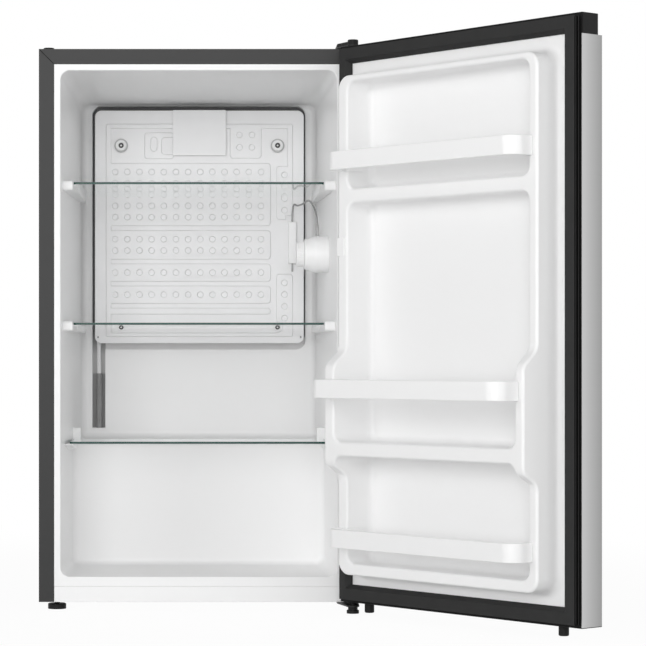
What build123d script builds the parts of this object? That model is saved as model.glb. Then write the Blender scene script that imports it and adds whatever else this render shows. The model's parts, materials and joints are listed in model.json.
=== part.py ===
from build123d import *
import math
import os

os.makedirs("parts", exist_ok=True)

# A compact refrigerator in millimetres: +X to the right seen from the front, +Y to the back, +Z up.
# The origin is on the floor, at the centre of the cabinet's footprint.

# Steel cabinet
cabinet_width = 472.0
cabinet_height = 816.0
cabinet_depth = 400.0
floor_clearance = 12.0
sheet = 0.8
flange_width = 22.5
mitre_gap = 1.0
mitre_depth = 0.4

# Clearances
seam = 0.2
running_fit = 0.05
press_gap = 0.02
slide_gap = 1.0

# White inner liner
liner_wall = 2.0
lip_side = 9.5
lip_top = 9.2
lip_bottom = 14.4
plinth_height = 22.9
plinth_depth = 10.0
plinth_wall = 2.5
back_wall = 45.0
side_draft = 0.042
floor_draft = 0.008
mouth_radius = 14.0
liner_radius = 9.0
hump_wall = 35.0
hump_roof = 31.0
hump_height = 193.7

# Recess for the cooling plate and the pipe channel below it
recess_margin = 16.6
recess_drop = 1.9
recess_rise = 142.8
recess_depth = 12.5
recess_radius = 15.0
channel_width = 21.0
channel_rise = 16.0
backing_thickness = 2.0

# Compressor bay
bay_depth = 173.0

# Cooling plate
plate_left_gap = 4.9
plate_right_gap = 3.1
plate_top_gap = 8.25
plate_foot_gap = 9.95
plate_standoff = 19.0
plate_thickness = 1.5
plate_radius = 10.6
band_height = 1.2
band_radius = 5.0
band_gap = 7.6
band_edge = 14.0
first_band_drop = 85.3
spot_diameter = 9.4
spot_pitch = 19.6
spot_row_pitch = 18.2
spot_inset = 14.6
rows_per_band = [5, 2, 1, 1, 0]
riser_inset = 18.1
riser_width = 8.0
header_drop = 22.0
header_height = 7.0
foot_channel_height = 5.8
foot_channel_rise = 10.8
column_width = 26.3
column_gap = 9.4
column_drop = 90.0
column_spot_pitch = 19.0
outlet_left = 49.7
outlet_width = 50.0
outlet_height = 55.0
outlet_spot_pitch = 20.0
inlet_left = -88.3
inlet_width = 47.0
inlet_height = 42.0
inlet_drop = 36.0
inlet_slot_width = 10.0
inlet_slot_height = 23.0
inlet_window_left = 27.4
inlet_window_drop = 7.7
inlet_window_height = 27.5
screw_island = 17.0
pad_margin = 4.0
corner_hole_diameter = 2.4
corner_hole_inset = 5.0
corner_hole_rise = 10.0
joint_cover_width = 86.0
joint_cover_height = 73.0
joint_cover_depth = 6.0
joint_cover_wall = 1.0

# Plate fixings
post_diameter = 12.0
plate_screw_x = 126.0
plate_screw_top = 57.0
plate_screw_bottom = 26.0
plate_screw_diameter = 4.0
plate_screw_length = 17.0
plate_screw_end_gap = 2.0
plate_screw_head = 7.5
plate_screw_head_height = 2.5
washer_diameter = 22.0
washer_height = 9.0
washer_step = 2.5

# Glass shelves
glass_thickness = 3.2
glass_radius = 4.0
shelf_front = 35.0
shelf_rear_gap = 11.0
shelf_side_gap = 3.85
shelf_top_drop = 165.4
shelf_pitch = 209.5
low_shelf_front = 65.0
low_shelf_overlap = 2.0
low_shelf_side_gap = 1.6
rail_height = 9.0
rail_nose = 1.5
rail_ramp = 45.0
rail_overlap = 5.0
nub_length = 14.0
nub_rise = 2.5
nub_drop = 9.0
nub_radius = 4.0
nub_edge_radius = 2.5
stop_rise = 21.0
stop_length = 14.0
stop_width = 12.0
stop_radius = 3.0

# Thermostat on the right wall
thermostat_setback = 145.0
thermostat_drop = 60.25
thermostat_base_diameter = 56.6
thermostat_neck_diameter = 46.5
thermostat_reach = 36.0
thermostat_base_reach = 15.5
thermostat_shoulder = 1.0
thermostat_bend = 12.0
thermostat_wall = 2.0
dial_diameter = 37.6
dial_height = 11.7
dial_gap = 0.3
dial_flutes = 36
dial_flute_diameter = 1.0
dial_stem_diameter = 6.0
dial_stem_length = 14.0
switch_width = 26.0
switch_depth = 17.0

# Sensing capillary and its holder on the cooling plate
capillary_diameter = 2.8
holder_width = 13.0
holder_height = 67.0
holder_depth = 10.0
holder_inset = 25.25
holder_drop = 180.0
capillary_tail = 13.0
capillary_setback = 15.0
capillary_top_inset = 6.0
capillary_lean = 10.7
capillary_arch_rise = 66.0

# Suction line
suction_diameter = 7.0
suction_inset = 10.5
suction_sway = 0.5
sleeve_diameter = 9.6
sleeve_bare = 38.8

# Compressor and its pipes
rail_thickness = 1.5
rail_width = 120.0
rail_lip = 12.0
weld_sink = 1.0
compressor_x = 40.0
compressor_length = 150.0
compressor_width = 120.0
compressor_height = 130.0
compressor_wall = 3.0
compressor_radius = 22.0
motor_gap = 2.0
motor_height = 90.0
mount_thickness = 2.5
mount_length = 190.0
mount_width = 96.0
mount_radius = 8.0
mount_inset = 14.0
grommet_diameter = 22.0
grommet_height = 12.0
bolt_diameter = 6.0
bolt_head_diameter = 12.0
bolt_head_height = 4.0
terminal_depth = 34.0
terminal_width = 56.0
terminal_height = 48.0
terminal_lift = 40.0
gland_diameter = 14.0
gland_length = 10.0
gland_bore = 7.0
condenser_diameter = 5.0
condenser_tape = 0.5
condenser_bend = 22.0
condenser_top_gap = 40.0
condenser_low_gap = 60.0
condenser_front_gap = 60.0
condenser_pitch = 60.0
condenser_rear_gap = 60.0
condenser_return_gap = 20.0
pipe_inset = 24.0
drier_diameter = 17.0
drier_length = 80.0
pipe_bend = 16.0

# Door
door_thickness = 43.2
door_top_gap = 1.0
door_bottom_rise = 4.0
door_rest_angle = 128.8
door_skin_radius = 7.0
gasket_gap = 11.0
hinge_edge_inset = 10.2
hinge_face_inset = 15.3
cap_height = 28.0
cap_setback = 9.0
cap_plug = 18.0
cap_radius = 5.0
bottom_cap_edge = 1.0
bottom_cap_plug = 16.0
grip_length = 260.0
grip_depth = 14.0
grip_height = 16.0
frame_width = 14.0
frame_thickness = 2.0

# Door gasket
gasket_outer_inset = 4.75
gasket_hinge_inset = 8.5
gasket_inner_inset = 21.0
gasket_height = 10.5
gasket_base = 2.0
gasket_ridge = 1.6
gasket_ridge_inset = 0.8
gasket_lip = 1.5
gasket_groove_depth = 3.0
gasket_flap_width = 5.6
gasket_flap_foot = 3.0

# Door liner
dike_hinge_inset = 38.0
dike_free_inset = 42.5
dike_height = 40.0
dike_bottom = 44.5
dike_top_inset = 49.0
dike_corner_radius = 20.0
dike_crest_radius = 4.0
dike_root_radius = 11.0
door_pocket_inset = 58.3
door_pocket_depth = 8.0
door_pocket_radius = 14.0
door_pocket_floor_radius = 10.0
dike_foot_width = 16.5
dike_head_width = 9.5
shelf_rib = 20.5
lower_pocket_height = 155.0
upper_pocket_height = 154.0
bulge_height = 66.5
bulge_drop = 12.5
bulge_length = 142.0
bulge_run_low = 16.0
bulge_run_high = 22.0
bulge_bend_low = 15.0
bulge_bend_high = 19.0

# Retainer bars on the door
bar_height = 26.0
bar_wall = 3.5
bar_inset = 50.5
bar_reach = 38.0
middle_bar_reach = 42.5
bar_end_radius = 21.0
bar_tongue = 28.0
bar_rise = 25.25
bar_bulge_gap = 20.0

# Small door pieces
magnet_level = 503.0
magnet_length = 26.0
magnet_width = 15.0
magnet_rise = 1.6
peg_diameter = 14.0
peg_inset = 46.0
peg_face_inset = 15.0
peg_floor_gap = 2.0
peg_stem_diameter = 6.0
peg_stem_length = 10.0

# Hinges
hinge_plate = 2.5
pin_diameter = 8.0
pin_reach = 15.0
bush_diameter = 14.0
hinge_plate_width = 32.0
hinge_plate_run = 60.0
hinge_nose_radius = 9.0
hinge_screw_diameter = 5.0
hinge_screw_head = 10.0
hinge_screw_head_height = 2.0
hinge_screw_length = 12.0
hinge_screw_first = 18.0
hinge_screw_second = 44.0
cover_wall = 1.5
cover_height = 5.0
cover_cap_diameter = 15.5
cover_cap_height = 7.5
cover_edge_radius = 1.2
bush_shoulder_gap = 0.3

# Feet and plug
plug_diameter = 16.0
plug_height = 3.0
plug_stem_diameter = 8.0
plug_stem_length = 6.0
plug_x_inset = 14.0
plug_setback = 15.0
left_foot_diameter = 27.0
left_foot_height = 8.0
left_foot_inset = 25.5
left_foot_setback = 26.0
stud_diameter = 8.0
stud_length = 24.0
right_foot_diameter = 18.0
right_foot_neck = 14.0
right_foot_head_height = 5.0
right_foot_reach = 44.0
right_foot_inset = 11.5
right_stud_diameter = 6.0
right_stud_rise = 2.0
foot_nose_radius = 9.5
rear_foot_diameter = 25.0
rear_foot_inset = 36.0
rear_foot_setback = 20.0
rear_foot_stem = 8.0
rear_foot_rise = 1.5

# Places worked out from the sizes above
half = cabinet_width / 2
front = -cabinet_depth / 2
back = cabinet_depth / 2
base = floor_clearance
roof = base + cabinet_height
mouth_half = half - flange_width - lip_side
mouth_top = roof - flange_width - lip_top
mouth_floor = base + plinth_height + lip_bottom
cavity_depth = cabinet_depth - back_wall
hump_setback = cabinet_depth - bay_depth - hump_wall
hump_top = mouth_floor + hump_height
bay_front = back - bay_depth
bay_top = hump_top - hump_roof
hinge_x = half - hinge_edge_inset
hinge_y = front - gasket_gap - hinge_face_inset
door_face = front - gasket_gap
door_bottom = base + door_bottom_rise
door_top = roof - door_top_gap
skin_top = door_top - cap_height
dike_low = door_bottom + dike_bottom
dike_high = door_top - dike_top_inset
low_pocket_floor = dike_low + dike_foot_width
low_pocket_top = low_pocket_floor + lower_pocket_height
high_pocket_top = dike_high - dike_head_width
high_pocket_floor = high_pocket_top - upper_pocket_height
bulge_low = low_pocket_top - bulge_drop
bulge_high = bulge_low + bulge_length
beyond = 50.0


def slab(x0, x1, y0, y1, z0, z1):
    """A block between the given limits."""
    return Pos((x0 + x1) / 2, (y0 + y1) / 2, (z0 + z1) / 2) * Box(x1 - x0, y1 - y0, z1 - z0)


def rod(start, way, diameter, length):
    """A round bar from a point, along a direction."""
    return extrude(Plane(origin=start, z_dir=way) * Circle(diameter / 2), amount=length, dir=way)


def upright(x, y, low, high, diameter):
    """A vertical round bar between two heights."""
    return rod((x, y, low), (0, 0, 1), diameter, high - low)


def bent_tube(points, radii, diameter):
    """A round tube along straight runs joined by tangent arcs."""
    path = FilletPolyline(*points, radius=radii)
    return sweep(Plane(origin=path @ 0, z_dir=path % 0) * Circle(diameter / 2), path=path)


def upright_panel(y):
    """The plane across the cabinet at a given Y, with X to the right and Z up."""
    return Plane(origin=(0, y, 0), x_dir=(1, 0, 0), z_dir=(0, -1, 0))


def rounded_panel(x0, x1, z0, z1, radius, y0, y1):
    """A plate across the cabinet between two depths, with round corners."""
    outline = Pos((x0 + x1) / 2, (z0 + z1) / 2) * RectangleRounded(x1 - x0, z1 - z0, radius)
    return extrude(upright_panel(y1) * outline, amount=y1 - y0)


def wall_x(y):
    """Half the cavity's width at a depth behind the front."""
    return mouth_half - side_draft * y


def ceiling_z(y):
    """Height of the cavity's ceiling at a depth behind the front."""
    return mouth_top - side_draft * y


def floor_z(y):
    """Height of the cavity's floor at a depth behind the front."""
    return mouth_floor + floor_draft * y


recess_half = wall_x(cavity_depth) - recess_margin
recess_top = ceiling_z(cavity_depth) - recess_drop
recess_low = hump_top + recess_rise
plate_left = -recess_half + plate_left_gap
plate_right = recess_half - plate_right_gap
plate_middle = (plate_left + plate_right) / 2
plate_top = recess_top - plate_top_gap
plate_low = recess_low + plate_foot_gap
channel_foot = hump_top + channel_rise
plate_setback = cavity_depth - plate_standoff
plate_face = front + plate_setback
recess_floor = front + cavity_depth + recess_depth
shelf_depth = plate_setback - shelf_rear_gap - shelf_front
shelf_half = wall_x(shelf_front + shelf_depth) - shelf_side_gap
low_shelf_depth = hump_setback + low_shelf_overlap - low_shelf_front
low_shelf_half = wall_x(low_shelf_front + low_shelf_depth) - low_shelf_side_gap
shelf_levels = [mouth_top - shelf_top_drop, mouth_top - shelf_top_drop - shelf_pitch]
thermostat_y = front + thermostat_setback
holder_x = plate_right - holder_inset + holder_width / 2
holder_y = plate_face - holder_depth / 2
holder_top = plate_top - holder_drop
holder_low = holder_top - holder_height
thermostat_z = holder_top - thermostat_drop
thermostat_wall_x = wall_x(thermostat_setback)
thermostat_face_x = thermostat_wall_x - thermostat_reach
suction_x = -recess_half + suction_inset
suction_y = recess_floor - backing_thickness - sleeve_diameter / 2 - seam
sleeve_x = suction_x + suction_sway
sleeve_top = hump_top + recess_rise - sleeve_bare
compressor_y = (bay_front + back) / 2
mount_level = base + rail_thickness + grommet_height
compressor_level = mount_level + mount_thickness
condenser_x = half - sheet - condenser_tape - condenser_diameter / 2
left_foot_x = -half + left_foot_inset
left_foot_y = front + left_foot_setback
right_foot_x = half - right_foot_inset
right_foot_y = front - right_foot_reach
plug_x = -half + plug_x_inset
plug_y = front + plug_setback
hinge_screws_y = [front + hinge_screw_first, front + hinge_screw_second]
hinge_screw_x = half - hinge_plate_width / 2
rear_foot_y = compressor_y + rail_width / 2 - rear_foot_setback
rear_feet_x = [-half + rear_foot_inset, half - rear_foot_inset]


def cavity_section(y, grow):
    """The cavity's outline across the cabinet, at a depth behind the front."""
    low = floor_z(y) - grow
    high = ceiling_z(y) + grow
    outline = Pos(0, (low + high) / 2) * Rectangle(2 * (wall_x(y) + grow), high - low)
    return upright_panel(front + y) * outline


def runs_deep(edge):
    """Whether an edge runs from the front to the back."""
    return abs(edge.tangent_at(0.5).Y) > 0.9


def cavity(grow):
    """The space inside the liner, grown by the liner's wall where its outside is wanted."""
    space = loft([cavity_section(0, grow), cavity_section(cavity_depth + grow, grow)], ruled=True)
    hump_face = front + hump_setback + grow
    space -= slab(-half, half, hump_face, back + beyond, -beyond, hump_top - grow)
    long_corners = [
        edge for edge in space.edges()
        if runs_deep(edge) and abs((edge @ 0.5).Z - hump_top) > hump_height / 2
    ]
    space = fillet(long_corners, mouth_radius + grow)
    inner_edges = [
        edge for edge in space.edges()
        if min((edge @ 0).Y, (edge @ 1).Y) > front + 1
        and not (runs_deep(edge) and abs((edge @ 0.5).Z - hump_top) > hump_height / 2)
    ]
    return fillet(inner_edges, liner_radius + grow)


def plate_recess(grow):
    """The recess round the cooling plate with the pipe channel below it."""
    start = front + cavity_depth - liner_radius
    stop = recess_floor + grow
    recess = rounded_panel(
        -recess_half - grow, recess_half + grow, recess_low - grow, recess_top + grow,
        recess_radius + grow, start, stop)
    channel = slab(
        -recess_half - grow, -recess_half + channel_width + grow, start, stop,
        channel_foot - grow, recess_low + recess_radius + recess_radius)
    return recess + channel


liner_space = cavity(0) + plate_recess(0)
liner_envelope = cavity(liner_wall) + plate_recess(liner_wall)
wall_middle = cavity(liner_wall / 2)


def both_sides(piece):
    """A piece on the right side and its mirror image on the left."""
    return [piece, mirror(piece, about=Plane.YZ)]


def shelf_rail(inner, y0, y1, level):
    """A rail under one side of a shelf, whose underside rises to a thin nose at the front."""
    profile = make_face(Polyline(
        (y0, level), (y1, level), (y1, level - rail_height), (y0 + rail_ramp, level - rail_height),
        (y0, level - rail_nose), close=True))
    side_plane = Plane(origin=(inner, 0, 0), x_dir=(0, 1, 0), z_dir=(1, 0, 0))
    return extrude(side_plane * profile, amount=half - inner, dir=(1, 0, 0)) & wall_middle


def shelf_supports():
    """Rails under the glass shelves, each with a nub at its front end."""
    supports = []
    for level in shelf_levels:
        start = front + shelf_front
        supports += both_sides(shelf_rail(
            shelf_half - rail_overlap, start + nub_length - nub_radius, start + shelf_depth, level))
        nub = slab(
            shelf_half + slide_gap, half, start, start + nub_length,
            level - nub_drop, level + glass_thickness + nub_rise)
        nub = fillet(nub.edges().filter_by(Axis.X), nub_radius)
        nub = fillet(nub.faces().sort_by(Axis.X)[0].edges(), nub_edge_radius)
        supports += both_sides(nub & wall_middle)
    supports += both_sides(shelf_rail(
        low_shelf_half - rail_overlap, front + low_shelf_front, front + hump_setback + liner_wall, hump_top))
    stop_y = front + low_shelf_front + low_shelf_depth + slide_gap
    stop = slab(
        wall_x(hump_setback) - stop_width, half, stop_y, stop_y + stop_length,
        hump_top - liner_wall / 2, hump_top + stop_rise)
    stop = fillet(stop.edges().filter_by(Axis.X).group_by(Axis.Z)[-1], stop_radius)
    supports += both_sides(stop & wall_middle)
    return supports


def make_inner_liner():
    frame = slab(
        -half + flange_width + seam, half - flange_width - seam, front, front + liner_wall,
        base + plinth_height + seam, roof - flange_width - seam)
    liner = liner_envelope + frame - liner_space
    mouth = [
        edge for edge in liner.edges()
        if abs((edge @ 0.5).Y - front) < 0.01 and abs((edge @ 0.5).X) < mouth_half + 1
        and mouth_floor - 1 < (edge @ 0.5).Z < mouth_top + 1
    ]
    liner = fillet(mouth, liner_wall * 0.75)
    for support in shelf_supports():
        liner += support
    liner -= upright(
        sleeve_x, suction_y, channel_foot - liner_radius, channel_foot + 1, suction_diameter)
    return liner


def condenser_route():
    """The condenser's runs up and down the right wall, ending inside the compressor bay."""
    high = roof - condenser_top_gap
    low = base + condenser_low_gap
    first = back - condenser_rear_gap
    last = bay_front + condenser_return_gap
    near = front + condenser_front_gap
    inner = half - pipe_inset
    level = bay_top - pipe_bend * 1.25
    return [
        (inner, first, level), (condenser_x, first, level), (condenser_x, first, high),
        (condenser_x, near, high), (condenser_x, near, low),
        (condenser_x, near + condenser_pitch, low),
        (condenser_x, near + condenser_pitch, high - condenser_pitch),
        (condenser_x, last, high - condenser_pitch), (condenser_x, last, level),
        (inner, last, level),
    ]


def make_condenser_tube():
    radii = [pipe_bend] + [condenser_bend] * 6 + [pipe_bend]
    return bent_tube(condenser_route(), radii, condenser_diameter)


def suction_route():
    """From the cooling plate, down the channel, through the bay's roof to the compressor."""
    joint = plate_low + suction_diameter
    turn = bay_top - pipe_bend * 2
    compressor_port = compressor_level + compressor_height / 2
    return [
        (suction_x, suction_y, joint), (suction_x, suction_y, (joint + 2 * sleeve_top) / 3),
        (sleeve_x, suction_y, sleeve_top), (sleeve_x, suction_y, turn),
        (sleeve_x, compressor_y, turn),
        (sleeve_x, compressor_y, compressor_port),
        (compressor_x - compressor_length / 2 + weld_sink, compressor_y, compressor_port),
    ]


def suction_tube(extra):
    """The suction line, with room round it where a clearance is given."""
    radii = [pipe_bend * 2, pipe_bend * 2, pipe_bend, pipe_bend, pipe_bend]
    return bent_tube(suction_route(), radii, suction_diameter + extra)


def make_suction_line():
    return suction_tube(0) - compressor_body(0)


def make_pipe_sleeve():
    sleeve = upright(sleeve_x, suction_y, channel_foot, sleeve_top, sleeve_diameter)
    return sleeve - suction_tube(2 * press_gap)


def compressor_body(inset):
    """The compressor's can, or the space inside it where an inset is given."""
    can = extrude(
        Plane(origin=(compressor_x, compressor_y, compressor_level + inset)) * Ellipse(
            compressor_length / 2 - inset, compressor_width / 2 - inset),
        amount=compressor_height - 2 * inset)
    rims = can.edges().filter_by(GeomType.ELLIPSE)
    return fillet(rims, compressor_radius - inset)


def make_compressor_shell():
    return compressor_body(0) - compressor_body(compressor_wall)


def make_compressor_motor():
    floor = compressor_level + compressor_wall
    motor_diameter = compressor_width - 2 * (compressor_radius + motor_gap)
    motor = upright(compressor_x, compressor_y, floor, floor + motor_height, motor_diameter)
    return fillet(motor.edges().group_by(Axis.Z)[-1], compressor_wall)


def mount_corners():
    """Places of the four compressor mounts."""
    dx = mount_length / 2 - mount_inset
    dy = mount_width / 2 - mount_inset
    return [(compressor_x + i * dx, compressor_y + j * dy) for i in (-1, 1) for j in (-1, 1)]


def make_compressor_mount():
    outline = RectangleRounded(mount_length, mount_width, mount_radius)
    seat = Plane(origin=(compressor_x, compressor_y, mount_level))
    mount = extrude(seat * outline, amount=mount_thickness)
    for x, y in mount_corners():
        mount -= upright(x, y, mount_level - 1, compressor_level + 1, bolt_diameter + 2 * press_gap)
    return mount


def make_compressor_grommets():
    rings = []
    for x, y in mount_corners():
        ring = upright(x, y, base + rail_thickness, mount_level, grommet_diameter)
        ring = fillet(ring.edges(), mount_thickness / 2)
        rings.append(ring - upright(x, y, base, mount_level + 1, bolt_diameter + 2 * press_gap))
    return rings


def make_compressor_bolts():
    bolts = []
    for x, y in mount_corners():
        shank = upright(x, y, base, compressor_level, bolt_diameter)
        head = extrude(
            Plane(origin=(x, y, compressor_level)) * RegularPolygon(bolt_head_diameter / 2, 6),
            amount=bolt_head_height)
        bolts.append(shank + head)
    return bolts


def make_compressor_rail():
    low_y = compressor_y - rail_width / 2
    high_y = compressor_y + rail_width / 2
    rail = slab(-half + sheet, half - sheet, low_y, high_y, base, base + rail_lip)
    rail -= slab(
        -half, half, low_y + rail_thickness, high_y - rail_thickness,
        base + rail_thickness, base + rail_lip + 1)
    for x, y in mount_corners():
        rail -= upright(x, y, base - 1, base + rail_lip, bolt_diameter + 2 * press_gap)
    for x in rear_feet_x:
        rail -= upright(x, rear_foot_y, base - 1, base + rail_lip, rear_foot_stem + 2 * press_gap)
    return rail


def make_rear_feet():
    feet = []
    for x in rear_feet_x:
        pad = upright(x, rear_foot_y, 0, base, rear_foot_diameter)
        pad = fillet(pad.edges().group_by(Axis.Z)[0], floor_clearance / 8)
        stem_top = base + rail_thickness + rear_foot_rise
        feet.append(pad + upright(x, rear_foot_y, base, stem_top, rear_foot_stem))
    return feet


def terminal_x():
    """Outer face of the terminal cover."""
    return compressor_x + compressor_length / 2 + terminal_depth


def make_terminal_cover():
    low = compressor_level + terminal_lift
    cover = slab(
        compressor_x, terminal_x(), compressor_y - terminal_width / 2,
        compressor_y + terminal_width / 2, low, low + terminal_height)
    cover = fillet(cover.edges().group_by(Axis.X)[-1], compressor_wall)
    hole = rod(
        (terminal_x() - gland_length, compressor_y, low + terminal_height / 2), (1, 0, 0),
        gland_bore + 2 * compressor_wall, gland_length + 1)
    return cover - compressor_body(0) - hole


def make_cord_gland():
    z = compressor_level + terminal_lift + terminal_height / 2
    inner_end = terminal_x() - gland_length
    neck = rod(
        (inner_end, compressor_y, z), (1, 0, 0),
        gland_bore + 2 * compressor_wall - 2 * press_gap, gland_length)
    collar = rod((terminal_x(), compressor_y, z), (1, 0, 0), gland_diameter + compressor_wall, gland_length)
    collar = fillet(collar.edges().group_by(Axis.X)[-1], compressor_wall / 2)
    bore = rod((inner_end - beyond, compressor_y, z), (1, 0, 0), gland_bore, 2 * (gland_length + beyond))
    return neck + collar - bore


def make_discharge_line():
    start = condenser_route()[0]
    level = start[2]
    middle = (terminal_x() + start[0]) / 2
    return bent_tube(
        [start, (middle, start[1], level), (middle, compressor_y, level),
         (compressor_x, compressor_y, level),
         (compressor_x, compressor_y, compressor_level + compressor_height)],
        [pipe_bend / 2, pipe_bend / 2, pipe_bend / 2], condenser_diameter)


def make_filter_drier():
    end = condenser_route()[-1]
    drier = rod(
        (end[0] - drier_length, end[1], end[2]), (1, 0, 0), drier_diameter, drier_length)
    return fillet(drier.edges(), drier_diameter / 4)


def make_machine_bay_wall():
    side = half - sheet
    wall = slab(-side, side, bay_front, bay_front + sheet, base + sheet, bay_top)
    wall += slab(-side, side, bay_front, back - sheet, bay_top - sheet, bay_top)
    wall -= make_condenser_tube()
    wall -= upright(sleeve_x, suction_y, bay_top - beyond, bay_top + 1, suction_diameter + 2 * press_gap)
    return wall


def make_back_panel():
    side = half - sheet
    return slab(-side, side, back - sheet, back, bay_top - sheet, roof - sheet)


def make_base_plate():
    side = half - sheet
    plate = slab(-side, side, front + plinth_depth + seam, bay_front + sheet, base, base + sheet)
    plate -= upright(left_foot_x, left_foot_y, base - 1, base + 2, stud_diameter + 2 * running_fit)
    for y in hinge_screws_y:
        plate -= upright(hinge_screw_x, y, base - 1, base + 2, hinge_screw_diameter + 2 * press_gap)
    return plate


def make_front_plinth():
    side = half - flange_width - seam
    plinth = slab(-side, side, front, front + plinth_depth, base, base + plinth_height)
    plinth -= slab(
        -side + plinth_wall, side - plinth_wall, front + plinth_wall, front + plinth_depth + 1,
        base - 1, base + plinth_height - plinth_wall)
    return plinth


def make_outer_cabinet():
    shell = slab(-half, half, front, back, base, roof)
    shell -= slab(-half + sheet, half - sheet, front + sheet, back + 1, base - 1, roof - sheet)
    shell -= slab(
        -half + flange_width, half - flange_width, front - 1, front + sheet + 1,
        base - 1, roof - flange_width)
    mitre_length = math.hypot(flange_width, flange_width) - 2 * mitre_gap
    for side in (-1, 1):
        centre = Pos(side * (half - flange_width / 2), front, roof - flange_width / 2)
        shell -= centre * Rot(0, -45 * side, 0) * Box(mitre_length, 2 * mitre_depth, mitre_gap)
    for y in hinge_screws_y:
        shell -= upright(hinge_screw_x, y, roof - 2, roof + 1, hinge_screw_diameter + 2 * press_gap)
    shell -= upright(plug_x, plug_y, roof - 2, roof + 1, plug_stem_diameter + 2 * press_gap)
    return shell


def make_cabinet_foam():
    side = half - sheet
    foam = slab(-side, side, front + liner_wall, back - sheet, base + sheet, roof - sheet)
    foam -= liner_envelope
    foam -= slab(-half, half, bay_front, back, base, bay_top)
    foam -= slab(-half, half, front, front + plinth_depth + seam, base, base + plinth_height)
    foam -= make_condenser_tube()
    foam -= upright(
        sleeve_x, suction_y, bay_top - 1, channel_foot, suction_diameter + 2 * press_gap)
    foam -= upright(left_foot_x, left_foot_y, base, base + stud_length + 2, stud_diameter + 2)
    for y in hinge_screws_y:
        foam -= upright(
            hinge_screw_x, y, roof - hinge_screw_length - 2, roof, hinge_screw_diameter + 2 * press_gap)
        foam -= upright(
            hinge_screw_x, y, base, base + hinge_screw_length + 2, hinge_screw_diameter + 2 * press_gap)
    foam -= upright(
        plug_x, plug_y, roof - plug_stem_length - 2, roof, plug_stem_diameter + 2 * press_gap)
    return foam


def plate_point(across, down):
    """A place on the cooling plate, measured from its top left corner."""
    return (plate_left + across, plate_top - down)


def band(left, right, top, bottom):
    """A raised band on the cooling plate, measured from its top left corner."""
    x0, z0 = plate_point(left, bottom)
    x1, z1 = plate_point(right, top)
    radius = min(band_radius, (x1 - x0) / 2.01, (z1 - z0) / 2.01)
    return Pos((x0 + x1) / 2, (z0 + z1) / 2) * RectangleRounded(x1 - x0, z1 - z0, radius)


def spot_bands():
    """Top, bottom and spot rows of the wide bands, for as many as the plate has room for."""
    bands = []
    top = first_band_drop
    for rows in rows_per_band:
        bottom = top + 2 * band_edge + (rows - 1) * spot_row_pitch
        if bottom < plate_top - plate_low - foot_channel_rise - foot_channel_height - band_gap / 2:
            levels = [top + band_edge + row * spot_row_pitch for row in range(rows)]
            bands.append((top, bottom, levels))
        top = bottom + band_gap
    return bands


def raised_pattern():
    """The inflated channels of the cooling plate, with their round weld spots left flat."""
    plate_width = plate_right - plate_left
    plate_drop = plate_top - plate_low
    riser_right = riser_inset + riser_width
    column_right = plate_width - riser_inset
    column_left = column_right - column_width
    band_right = column_left - column_gap
    foot_bottom = plate_drop - foot_channel_rise
    foot_top = foot_bottom - foot_channel_height
    pad_top = plate_top - holder_top - pad_margin
    pad_bottom = plate_top - holder_low + pad_margin + capillary_tail
    outlet = plate_width / 2 + outlet_left
    inlet = plate_width / 2 + inlet_left
    window = inlet_drop + inlet_window_drop
    raised = band(riser_inset, riser_right, header_drop, foot_bottom)
    raised += band(riser_inset, column_right, header_drop, header_drop + header_height)
    raised += band(riser_inset, column_right, foot_top, foot_bottom)
    raised += band(column_right - riser_width, column_right, header_drop, pad_top)
    raised += band(outlet, outlet + outlet_width, header_drop, header_drop + outlet_height)
    raised += band(inlet, inlet + inlet_width, inlet_drop, inlet_drop + inlet_height)
    raised -= band(
        inlet + inlet_slot_width, inlet + 2 * inlet_slot_width,
        inlet_drop + header_height, inlet_drop + header_height + inlet_slot_height)
    raised -= band(
        inlet + inlet_window_left, inlet + inlet_width + band_gap, window, window + inlet_window_height)
    columns = int((band_right - riser_inset - 2 * spot_inset) / spot_pitch) + 1
    spots = []
    for top, bottom, levels in spot_bands():
        raised += band(riser_inset, band_right, top, bottom)
        spots += [
            plate_point(riser_inset + spot_inset + column * spot_pitch, level)
            for level in levels for column in range(columns)
        ]
    column_middle = (column_left + column_right) / 2
    for top, bottom in ((column_drop, pad_top), (pad_bottom, foot_bottom)):
        count = int((bottom - top - 2 * band_edge) / column_spot_pitch) + 1
        if count > 0:
            raised += band(column_left, column_right, top, bottom)
        spots += [plate_point(column_middle, top + band_edge + k * column_spot_pitch) for k in range(count)]
    spots += [
        plate_point(outlet + outlet_width / 2 + i * outlet_spot_pitch / 2,
                    header_drop + outlet_height / 2 + j * outlet_spot_pitch / 2)
        for i in (-1, 1) for j in (-1, 1)
    ]
    flats = [Pos(x, z) * Circle(spot_diameter / 2) for x, z in spots]
    flats += [Pos(x, z) * Circle(screw_island / 2) for x, z in plate_screws()[2:]]
    pad_width = holder_width + 2 * pad_margin
    flats.append(Pos(holder_x, (holder_top + holder_low) / 2) * Rectangle(pad_width, pad_bottom - pad_top))
    return raised - flats


def plate_screws():
    """Places of the four plate screws: the two upper ones first."""
    high = plate_top - plate_screw_top
    low = plate_low + plate_screw_bottom
    return [(plate_middle + side * plate_screw_x, level) for level in (high, low) for side in (-1, 1)]


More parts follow.
